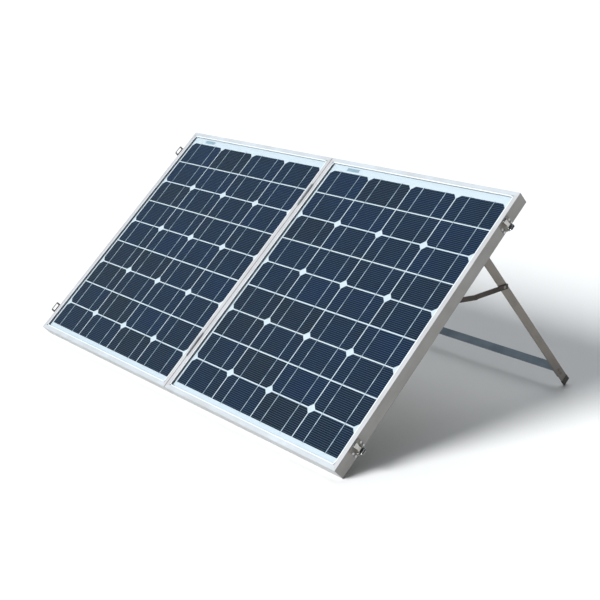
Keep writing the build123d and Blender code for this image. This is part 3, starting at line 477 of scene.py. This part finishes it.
# %% Loft helper
def lofted(name, parts, material, body, sharp=40.0):
    """One piece from several stacks of rings. Point j of ring i joins point j + 1 and ring
    i + 1, as a quad; a stack that doesn't close on itself gets its first and last ring as
    caps."""
    points, faces, first = [], [], 0
    for rings, closed in parts:
        count, around = rings.shape[:2]
        i = np.arange(count if closed else count - 1)[:, None]
        j = np.arange(around)[None, :]
        after, beside = (i + 1) % count, (j + 1) % around
        quads = np.stack([i * around + j, i * around + beside,
                          after * around + beside, after * around + j], -1).reshape(-1, 4) + first
        faces += quads.tolist()
        if not closed:
            faces += [list(range(first, first + around)),
                      list(range(first + (count - 1) * around, first + count * around))]
        points.append(rings.reshape(-1, 3))
        first += count * around
    mesh = bpy.data.meshes.new(name)
    mesh.from_pydata(np.concatenate(points).tolist(), [], faces)
    shell = bmesh.new()
    shell.from_mesh(mesh)
    bmesh.ops.recalc_face_normals(shell, faces=shell.faces)
    shell.to_mesh(mesh)
    shell.free()
    mesh.polygons.foreach_set("use_smooth", np.ones(len(mesh.polygons), bool))
    mesh.set_sharp_from_angle(angle=math.radians(sharp))
    mesh.materials.append(material)
    piece = bpy.data.objects.new(name, mesh)
    scene.collection.objects.link(piece)
    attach(piece, body)
    print(name, len(mesh.polygons), "faces")
    return piece


def turned(centre, axis, along, radius, flutes=0, depth=0.0, steps=64):
    """Rings of a turned shape: ring k sits along[k] mm down the axis with radius[k] mm, and
    the radius drops by depth times the square of sin(flutes * angle / 2), which cuts that
    many flutes."""
    axis = np.asarray(axis, float)
    first = np.cross(axis, UP_SLOPE if abs(axis @ UP_SLOPE) < 0.9 else ACROSS)
    first /= np.linalg.norm(first)
    second = np.cross(axis, first)
    angle = np.linspace(0, 2 * np.pi, steps, endpoint=False)
    cut = np.broadcast_to(depth, np.shape(radius))[:, None] * np.sin(flutes * angle / 2) ** 2
    size = np.asarray(radius, float)[:, None] - cut
    circle = np.cos(angle)[:, None] * first + np.sin(angle)[:, None] * second
    return centre + MM * (np.asarray(along, float)[:, None, None] * axis
                          + size[..., None] * circle)


def bend(first, middle, last, t):
    """Quadratic curve: it leaves first and reaches last, each time along the line to middle."""
    return (1 - t) ** 2 * first + 2 * t * (1 - t) * middle + t ** 2 * last


def rounded(corners, radius, steps=6):
    """Outline with round corners: near each corner the two straight edges are joined by a
    quadratic curve that starts and ends one radius from the corner."""
    corners = np.asarray(corners, float)
    before, after = np.roll(corners, 1, 0) - corners, np.roll(corners, -1, 0) - corners
    reach = np.asarray(radius, float) * np.ones(len(corners))
    start_at = corners + before / np.linalg.norm(before, axis=1)[:, None] * reach[:, None]
    end_at = corners + after / np.linalg.norm(after, axis=1)[:, None] * reach[:, None]
    t = np.linspace(0, 1, steps)[None, :, None]
    return bend(start_at[:, None], corners[:, None], end_at[:, None], t).reshape(-1, 2)


def box_corners(width, height):
    """Four corners of a rectangle about the origin, counterclockwise."""
    return np.array([(-1, -1), (1, -1), (1, 1), (-1, 1)]) * (width / 2, height / 2)


# %% [markdown]
# ## Junction box lid, sealant and cable glands
# On the rear of each panel a moulded box covers the terminals. Its lid is crowned, with a
# groove near its rim and ribs for the thumbs. The box is bedded in silicone, squeezed out
# into an uneven bead, and thinner beads seal the laminate to the frame, in front along the
# lip and behind along the rails. Each gland is a hexagon nut under a fluted dome, with a
# bush whose hole is empty here.

# %% Junction box pieces
BOX_WIDTH, BOX_HEIGHT, BOX_DEPTH, BOX_S = 100.0, 70.0, 15.0, 560.0
LID_THICKNESS, LID_CORNER, LEAST_CORNER = 2.0, 6, 1.5
LID_REAR = BACKSHEET_REAR + BOX_DEPTH + LID_THICKNESS
LID_PROFILE = ((0.0, 2.0), (0.0, 0.8), (0.3, 0.3), (0.9, 0.0), (3.0, 0.0), (3.5, 0.5),
               (5.0, 0.5), (5.5, 0.0), (16.0, 0.0), (18.0, 0.0), (30.0, 0.0))
RIB_COUNT, RIB_PITCH, RIB_ASIDE = 6, 3.2, 22.0
RIB_ALONG, RIB_RADIUS = (-4.5, -4.2, 4.2, 4.5), (0.2, 0.5, 0.5, 0.2)

FRONT_LIP, GLASS_FRONT = 9.5, 2.2
BEAD_STEPS, BEAD_SIDES = 240, 12
# width, height, s of the middle, radius, depth, corner radius, unevenness
BEADS = {
    "box": (BOX_WIDTH + 1.6, BOX_HEIGHT + 1.6, BOX_S, 1.5, BACKSHEET_REAR + 1.3, 6.5, 0.14),
    "frame": (PANEL_WIDTH - 20.6, PANEL_HEIGHT - 20.6, PANEL_HEIGHT / 2, 1.1,
              BACKSHEET_REAR + 1.0, 2.0, 0.06),
    "front": (PANEL_WIDTH - 2 * FRONT_LIP - 1.9, PANEL_HEIGHT - 2 * FRONT_LIP - 1.9,
              PANEL_HEIGHT / 2, 1.2, GLASS_FRONT - 1.05, 2.0, 0.03)}

GLAND_D = BACKSHEET_REAR + BOX_DEPTH / 2 + 0.5
GLAND_ALONG = (-3.8, 0.0, 0.0, 0.4, 4.6, 5.0, 5.0, 5.5,
               11.0, 13.6, 15.0, 15.0, 15.9, 16.0, 15.4, -3.8)
GLAND_RADIUS = (4.9, 4.9, 6.2, 6.6, 6.6, 6.2, 5.7, 6.4,
                6.4, 5.6, 4.7, 4.3, 4.0, 3.3, 3.0, 3.0)
HEXAGON_CUT = (0, 0, 0.0, 0.85, 0.85, 0.6, 0, 0, 0, 0, 0, 0, 0, 0, 0, 0)
FLUTE_CUT = (0, 0, 0, 0, 0, 0, 0, 0.45, 0.45, 0.3, 0, 0, 0, 0, 0, 0)
HEXAGON_SIDES, DOME_FLUTES = 6, 18


def lid_rings(side):
    """Rings of the lid: each step of the profile is an inset of the rounded outline and a
    depth from the rear."""
    middle = panel_x(side, PANEL_WIDTH / 2)
    rings = []
    for inset, depth in LID_PROFILE:
        outline = rounded(box_corners(BOX_WIDTH - 2 * inset, BOX_HEIGHT - 2 * inset),
                          max(LID_CORNER - inset, LEAST_CORNER))
        rings.append(place(middle + outline[:, 0], BOX_S + outline[:, 1], LID_REAR - depth))
    return np.stack(rings)


def thumb_ribs(side):
    """Half-round ribs on each long edge: a small circle carried up the slope."""
    middle = panel_x(side, PANEL_WIDTH / 2)
    stacks = []
    for way in (-1, 1):
        for k in range(RIB_COUNT):
            centre = place(middle + RIB_PITCH * (k - (RIB_COUNT - 1) / 2),
                           BOX_S + way * RIB_ASIDE, LID_REAR)
            stacks.append((turned(centre, UP_SLOPE, RIB_ALONG, RIB_RADIUS, steps=12), False))
    return stacks


def bead(side, width, height, centre_s, radius, d, corner, uneven):
    """Closed bead: a circle carried round a rounded rectangle, its radius changed by three
    slow waves."""
    middle = panel_x(side, PANEL_WIDTH / 2)
    line = rounded(box_corners(width, height), corner, 8)
    closed = np.vstack([line, line[:1]])
    steps = np.linalg.norm(np.diff(closed, axis=0), axis=1)
    travel = np.concatenate([[0], np.cumsum(steps)])
    fine = np.linspace(0, travel[-1], BEAD_STEPS, endpoint=False)
    path = np.stack([np.interp(fine, travel, closed[:, k]) for k in (0, 1)], -1)
    ahead = np.roll(path, -1, 0) - np.roll(path, 1, 0)
    ahead /= np.linalg.norm(ahead, axis=1)[:, None]
    outward = np.stack([ahead[:, 1], -ahead[:, 0]], -1)
    phase = 2 * np.pi * fine / travel[-1]
    waves = np.sin(7 * phase) + 0.6 * np.sin(17 * phase + 1) + 0.4 * np.sin(31 * phase)
    size = radius * (1 + uneven * waves)
    angle = np.linspace(0, 2 * np.pi, BEAD_SIDES, endpoint=False)
    aside = size[:, None] * np.cos(angle)
    back = size[:, None] * np.sin(angle)
    x = middle + path[:, :1] + aside * outward[:, :1]
    s = centre_s + path[:, 1:] + aside * outward[:, 1:]
    return place(x, s, d + back)


def gland(side, way):
    """A gland as one closed turned loop: hexagon flange, fluted dome nut, bush and bore, then
    back inside."""
    wall = place(panel_x(side, PANEL_WIDTH / 2) + way * BOX_WIDTH / 2, BOX_S, GLAND_D)
    base = turned(wall, way * ACROSS, GLAND_ALONG, GLAND_RADIUS, HEXAGON_SIDES, HEXAGON_CUT)
    ribbed = turned(wall, way * ACROSS, GLAND_ALONG, GLAND_RADIUS, DOME_FLUTES, FLUTE_CUT)
    return np.where((np.array(FLUTE_CUT) > 0)[:, None, None], ribbed, base), True


for side in SIDES:
    body = f"{side}_panel"
    lid = lofted(f"{side}_box_lid", [(lid_rings(side), False), *thumb_ribs(side)],
                 box_plastic, body)
    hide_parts(f"{side}_junction_box_lid")
    for seam, measures in BEADS.items():
        lofted(f"{side}_{seam}_sealant", [(bead(side, *measures), True)], sealant, body)
    ways = (-1, 1) if side == "right" else (1,)
    glands = lofted(f"{side}_glands", [gland(side, way) for way in ways],
                    gland_nylon, body, 50.0)
    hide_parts(f"{side}_cable_glands")

# %% [markdown]
# ## Foot caps
# A soft cap is pushed over the end of each leg. It is a rounded rectangle carried along the
# leg, with grip grooves round it and a domed sole.

# %% Foot caps
LEG_PIVOT = (500.0, 18.0)
LEG_LENGTH, LEG_WIDTH, LEG_THICKNESS = 434.0, 18.0, 3.0
CAP_WALL, CAP_LENGTH = 0.8, 14.0
GROOVE_DEPTH, GROOVE_COUNT, GROOVES_END = 0.28, 4, 0.72
SOLE_START, SOLE_SHARE, SOLE_ROUND = 0.9, 0.1, 1.5


def cap_rings(low_x, high_x):
    """Rings of one cap: along the leg the section is the bar plus the wall, less four grooves
    cut by a cosine, and the last tenth shrinks as a quarter circle does."""
    t = np.linspace(0, 1, 29)
    reach = LEG_LENGTH + CAP_WALL - CAP_LENGTH * (1 - t)
    turns = np.clip(t / GROOVES_END, 0, 1) * GROOVE_COUNT
    groove = GROOVE_DEPTH * (1 - np.cos(2 * np.pi * turns)) / 2
    end = np.clip((t - SOLE_START) / SOLE_SHARE, 0, 1)
    shrink = SOLE_ROUND * (1 - np.sqrt(1 - 0.98 * end ** 2))
    rings = []
    for along, inset in zip(reach, groove + shrink):
        outline = rounded(box_corners(LEG_WIDTH + 2 * CAP_WALL - 2 * inset,
                                      LEG_THICKNESS + 2 * CAP_WALL - 1.2 * inset), 1.3, 4)
        s = LEG_PIVOT[0] - along * math.cos(LEG_OPEN) + outline[:, 0] * math.sin(LEG_OPEN)
        d = LEG_PIVOT[1] + along * math.sin(LEG_OPEN) + outline[:, 0] * math.cos(LEG_OPEN)
        rings.append(place((low_x + high_x) / 2 + outline[:, 1], s, d))
    return np.stack(rings), False


for side in SIDES:
    legs = []
    for leg in ("outer", "inner"):
        low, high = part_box(f"{side}_{leg}_leg")
        legs.append(cap_rings(low.x / MM, high.x / MM))
    caps = lofted(f"{side}_foot_caps", legs, cap_plastic, f"{side}_legs", 50.0)
    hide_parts(f"{side}_leg_end_caps")

# %% [markdown]
# ## Stay elbows
# The two links of each stay meet at an elbow, held by a flat rivet. Its heads are thin
# enough to pass between the leg and the rail, so they are low domes on the outer faces.

# %% Elbow rivets
ELBOW = (433.17, 71.27)
HEAD_ALONG = (-0.3, 0.0, 0.18, 0.3, 0.34)
HEAD_RADIUS = (3.0, 3.0, 2.6, 1.6, 0.3)
LINK_FACES = {"rail_links": (10.6, 1), "leg_links": (14.5, -1)}


def elbow_heads(side, link):
    """Two low domes, one for the outer leg's stay and one for the inner leg's, on a link's
    free face."""
    w, way = LINK_FACES[link]
    heads = []
    for inwards, mirror in ((w, 1), (PANEL_WIDTH - w, -1)):
        centre = place(panel_x(side, inwards), *ELBOW)
        heads.append((turned(centre, SIDES[side] * way * mirror * ACROSS, HEAD_ALONG,
                             HEAD_RADIUS, steps=24), False))
    return heads


for side in SIDES:
    for link in LINK_FACES:
        lofted(f"{side}_{link[:-1]}_elbow_rivets", elbow_heads(side, link), stay_steel,
               f"{side}_{link}")

# %% [markdown]
# ## Draw latches
# Each latch has a lever between two ears and a claw on the lever's cross pin. They are
# pressed from sheet and tumbled, so every edge is round and the finger tab curls. A strip
# carried along a short curved path makes the tab and the claw, and rounded plates make the
# cheeks.

# %% Latch pieces
LATCH_S = {"lower": 57.5, "upper": 568.5}
CLAW_PIN = (9.5, 20.85)
CLAW_ANGLE = math.radians(-97.0)
CHEEK = ((3.0, 17.9), (13.0, 17.9), (14.6, 19.4), (10.5, 23.2), (3.0, 23.2))
CHEEK_STARTS, CHEEK_THICKNESS = (-6.8, 5.6), 1.2
TAB_BEND = ((9.8, 18.4), (15.6, 16.9), (16.0, 20.6))
TAB_THICKNESS, CLAW_THICKNESS = 1.1, 1.4
CLAW_REACH = (0.9, 4, 8, 12, 16, 20, 22.1, 22.45, 22.68, 22.78, 22.78, 22.78)
CLAW_RISE = (0.0, -0.05, -0.1, -0.1, -0.1, -0.1, -0.1, 0.0, 0.25, 0.65, 1.7, 2.9)


def strip(path, half_width, thickness, centre_s):
    """Rings of a bent strip: at each point of the (p, d) path, p outwards from the wall and d
    back from the front, a rounded rectangle as wide as twice the half width and as thick as
    the sheet stands square to the path."""
    path = np.asarray(path, float)
    ahead = np.gradient(path, axis=0)
    ahead /= np.linalg.norm(ahead, axis=1)[:, None]
    normal = np.stack([-ahead[:, 1], ahead[:, 0]], -1)
    section = rounded(box_corners(2.0, 1.0), 0.18, 4)
    wide = np.asarray(half_width, float)[:, None] * section[None, :, 0]
    thick = thickness * section[None, :, 1]
    p = path[:, :1] + thick * normal[:, :1]
    d = path[:, 1:] + thick * normal[:, 1:]
    return place(panel_x("right", -p), centre_s + wide, d), False


def plate(corners, radius, s0, s1):
    """Rings of a flat plate: the rounded outline at both faces, with a slightly smaller one
    outside each."""
    outline = rounded(corners, radius)
    middle = outline.mean(0)
    small = middle + 0.94 * (outline - middle)
    rings = [(small, s0), (outline, s0 + 0.25), (outline, s1 - 0.25), (small, s1)]
    return np.stack([place(panel_x("right", -shape[:, 0]), s, shape[:, 1])
                     for shape, s in rings]), False


def lever(centre_s):
    """Two cheeks, a curled finger tab that joins them and the claw's cross pin."""
    stacks = [plate(CHEEK, 1.4, centre_s + low, centre_s + low + CHEEK_THICKNESS)
              for low in CHEEK_STARTS]
    t = np.linspace(0, 1, 14)[:, None]
    tab = bend(*np.array(TAB_BEND), t)
    half_width = np.interp(t[:, 0], (0, 0.5, 1), (6.7, 6.7, 4.6))
    stacks.append(strip(tab, half_width, TAB_THICKNESS, centre_s))
    pin = place(panel_x("right", -CLAW_PIN[0]), centre_s, CLAW_PIN[1])
    stacks.append((turned(pin, UP_SLOPE, (-6.9, -6.7, 6.7, 6.9), (0.7, 1.0, 1.0, 0.7),
                          steps=20), False))
    return stacks


def claw(centre_s):
    """An eye round the cross pin and a strip that runs down to a hooked nose, waisted halfway."""
    reach, rise = np.array(CLAW_REACH), np.array(CLAW_RISE)
    cos, sin = math.cos(CLAW_ANGLE), math.sin(CLAW_ANGLE)
    path = np.stack([CLAW_PIN[0] + reach * cos + rise * sin,
                     CLAW_PIN[1] + reach * sin - rise * cos], -1)
    wide = np.interp(reach, (0, 4, 12, 19.6, 22.7), (4.9, 4.9, 3.6, 4.9, 4.7))
    eye = place(panel_x("right", -CLAW_PIN[0]), centre_s, CLAW_PIN[1])
    loop = turned(eye, UP_SLOPE, (-4.9, -4.9, 4.9, 4.9), (1.07, 2.2, 2.2, 1.07), steps=28)
    return [strip(path, wide, CLAW_THICKNESS, centre_s), (loop, True)]


for level, centre_s in LATCH_S.items():
    for part, shape in (("lever", lever), ("claw", claw)):
        body = f"{level}_latch_{part}"
        made = lofted(f"{level}_{part}", shape(centre_s), nickel_steel, body,
                      35.0)
        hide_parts(body)

# %% [markdown]
# ## Floor, sky and lamps
# One big soft lamp of cool white stands in front and to the left, so the glass side is
# bright and the right-hand walls are in shade. A weaker one behind lifts the shadow, and a
# pale sky, dimmer and browner on the shaded side, fills the rest.

# %% Floor
FLOOR_SIZE = 120.0
floor_mesh = bpy.data.meshes.new("floor")
edge = FLOOR_SIZE / 2
floor_mesh.from_pydata([(-edge, -edge, 0), (edge, -edge, 0), (edge, edge, 0), (-edge, edge, 0)],
                       [], [(0, 1, 2, 3)])
floor_paint, tree, shader = start("matt_white_floor",
                                  {"Base Color": linear("#E3DFD9"), "Roughness": 0.9,
                                   "Specular IOR Level": 0.1})
floor_mesh.materials.append(floor_paint)
floor = bpy.data.objects.new("floor", floor_mesh)
scene.collection.objects.link(floor)

# %% Sky and lamps
SKY = {"horizon": "#DDE3E8", "zenith": "#8FA9C4", "shaded side": "#5C534B"}
SKY_STRENGTH = 0.42
SHADE_START, SHADE_END = -0.2, 0.9
world = bpy.data.worlds.new("pale_sky")
world.use_nodes = True
scene.world = world
tree = world.node_tree
sight = add(tree, "ShaderNodeTexCoord").outputs["Generated"]
parts = add(tree, "ShaderNodeSeparateXYZ", None, {0: sight})
sky = add(tree, "ShaderNodeMixRGB",
          {"Color1": linear(SKY["horizon"]), "Color2": linear(SKY["zenith"])},
          {"Fac": parts.outputs["Z"]})
dusk = add(tree, "ShaderNodeMapRange", {"From Min": SHADE_START, "From Max": SHADE_END},
           {"Value": parts.outputs["X"]})
shaded = add(tree, "ShaderNodeMixRGB", {"Color2": linear(SKY["shaded side"])},
             {"Fac": dusk, "Color1": sky})
tree.links.new(shaded.outputs[0], tree.nodes["Background"].inputs["Color"])
tree.nodes["Background"].inputs["Strength"].default_value = SKY_STRENGTH

# azimuth and elevation in degrees, power, angular size in degrees
LAMPS = {"key": (-14.0, 34.0, 5.6, 26.0), "back_fill": (215.0, 60.0, 1.2, 60.0)}
COOL_WHITE = (0.94, 0.99, 1.05)
for name, (azimuth, elevation, power, softness) in LAMPS.items():
    lamp_data = bpy.data.lights.new(name, "SUN")
    lamp_data.color = COOL_WHITE
    lamp_data.energy = power
    lamp_data.angle = math.radians(softness)
    lamp = bpy.data.objects.new(name, lamp_data)
    a, e = math.radians(azimuth), math.radians(elevation)
    towards = Vector((math.sin(a) * math.cos(e), -math.cos(a) * math.cos(e), math.sin(e)))
    lamp.rotation_euler = towards.to_track_quat("Z", "Y").to_euler()
    scene.collection.objects.link(lamp)

scene.view_settings.view_transform = "Standard"
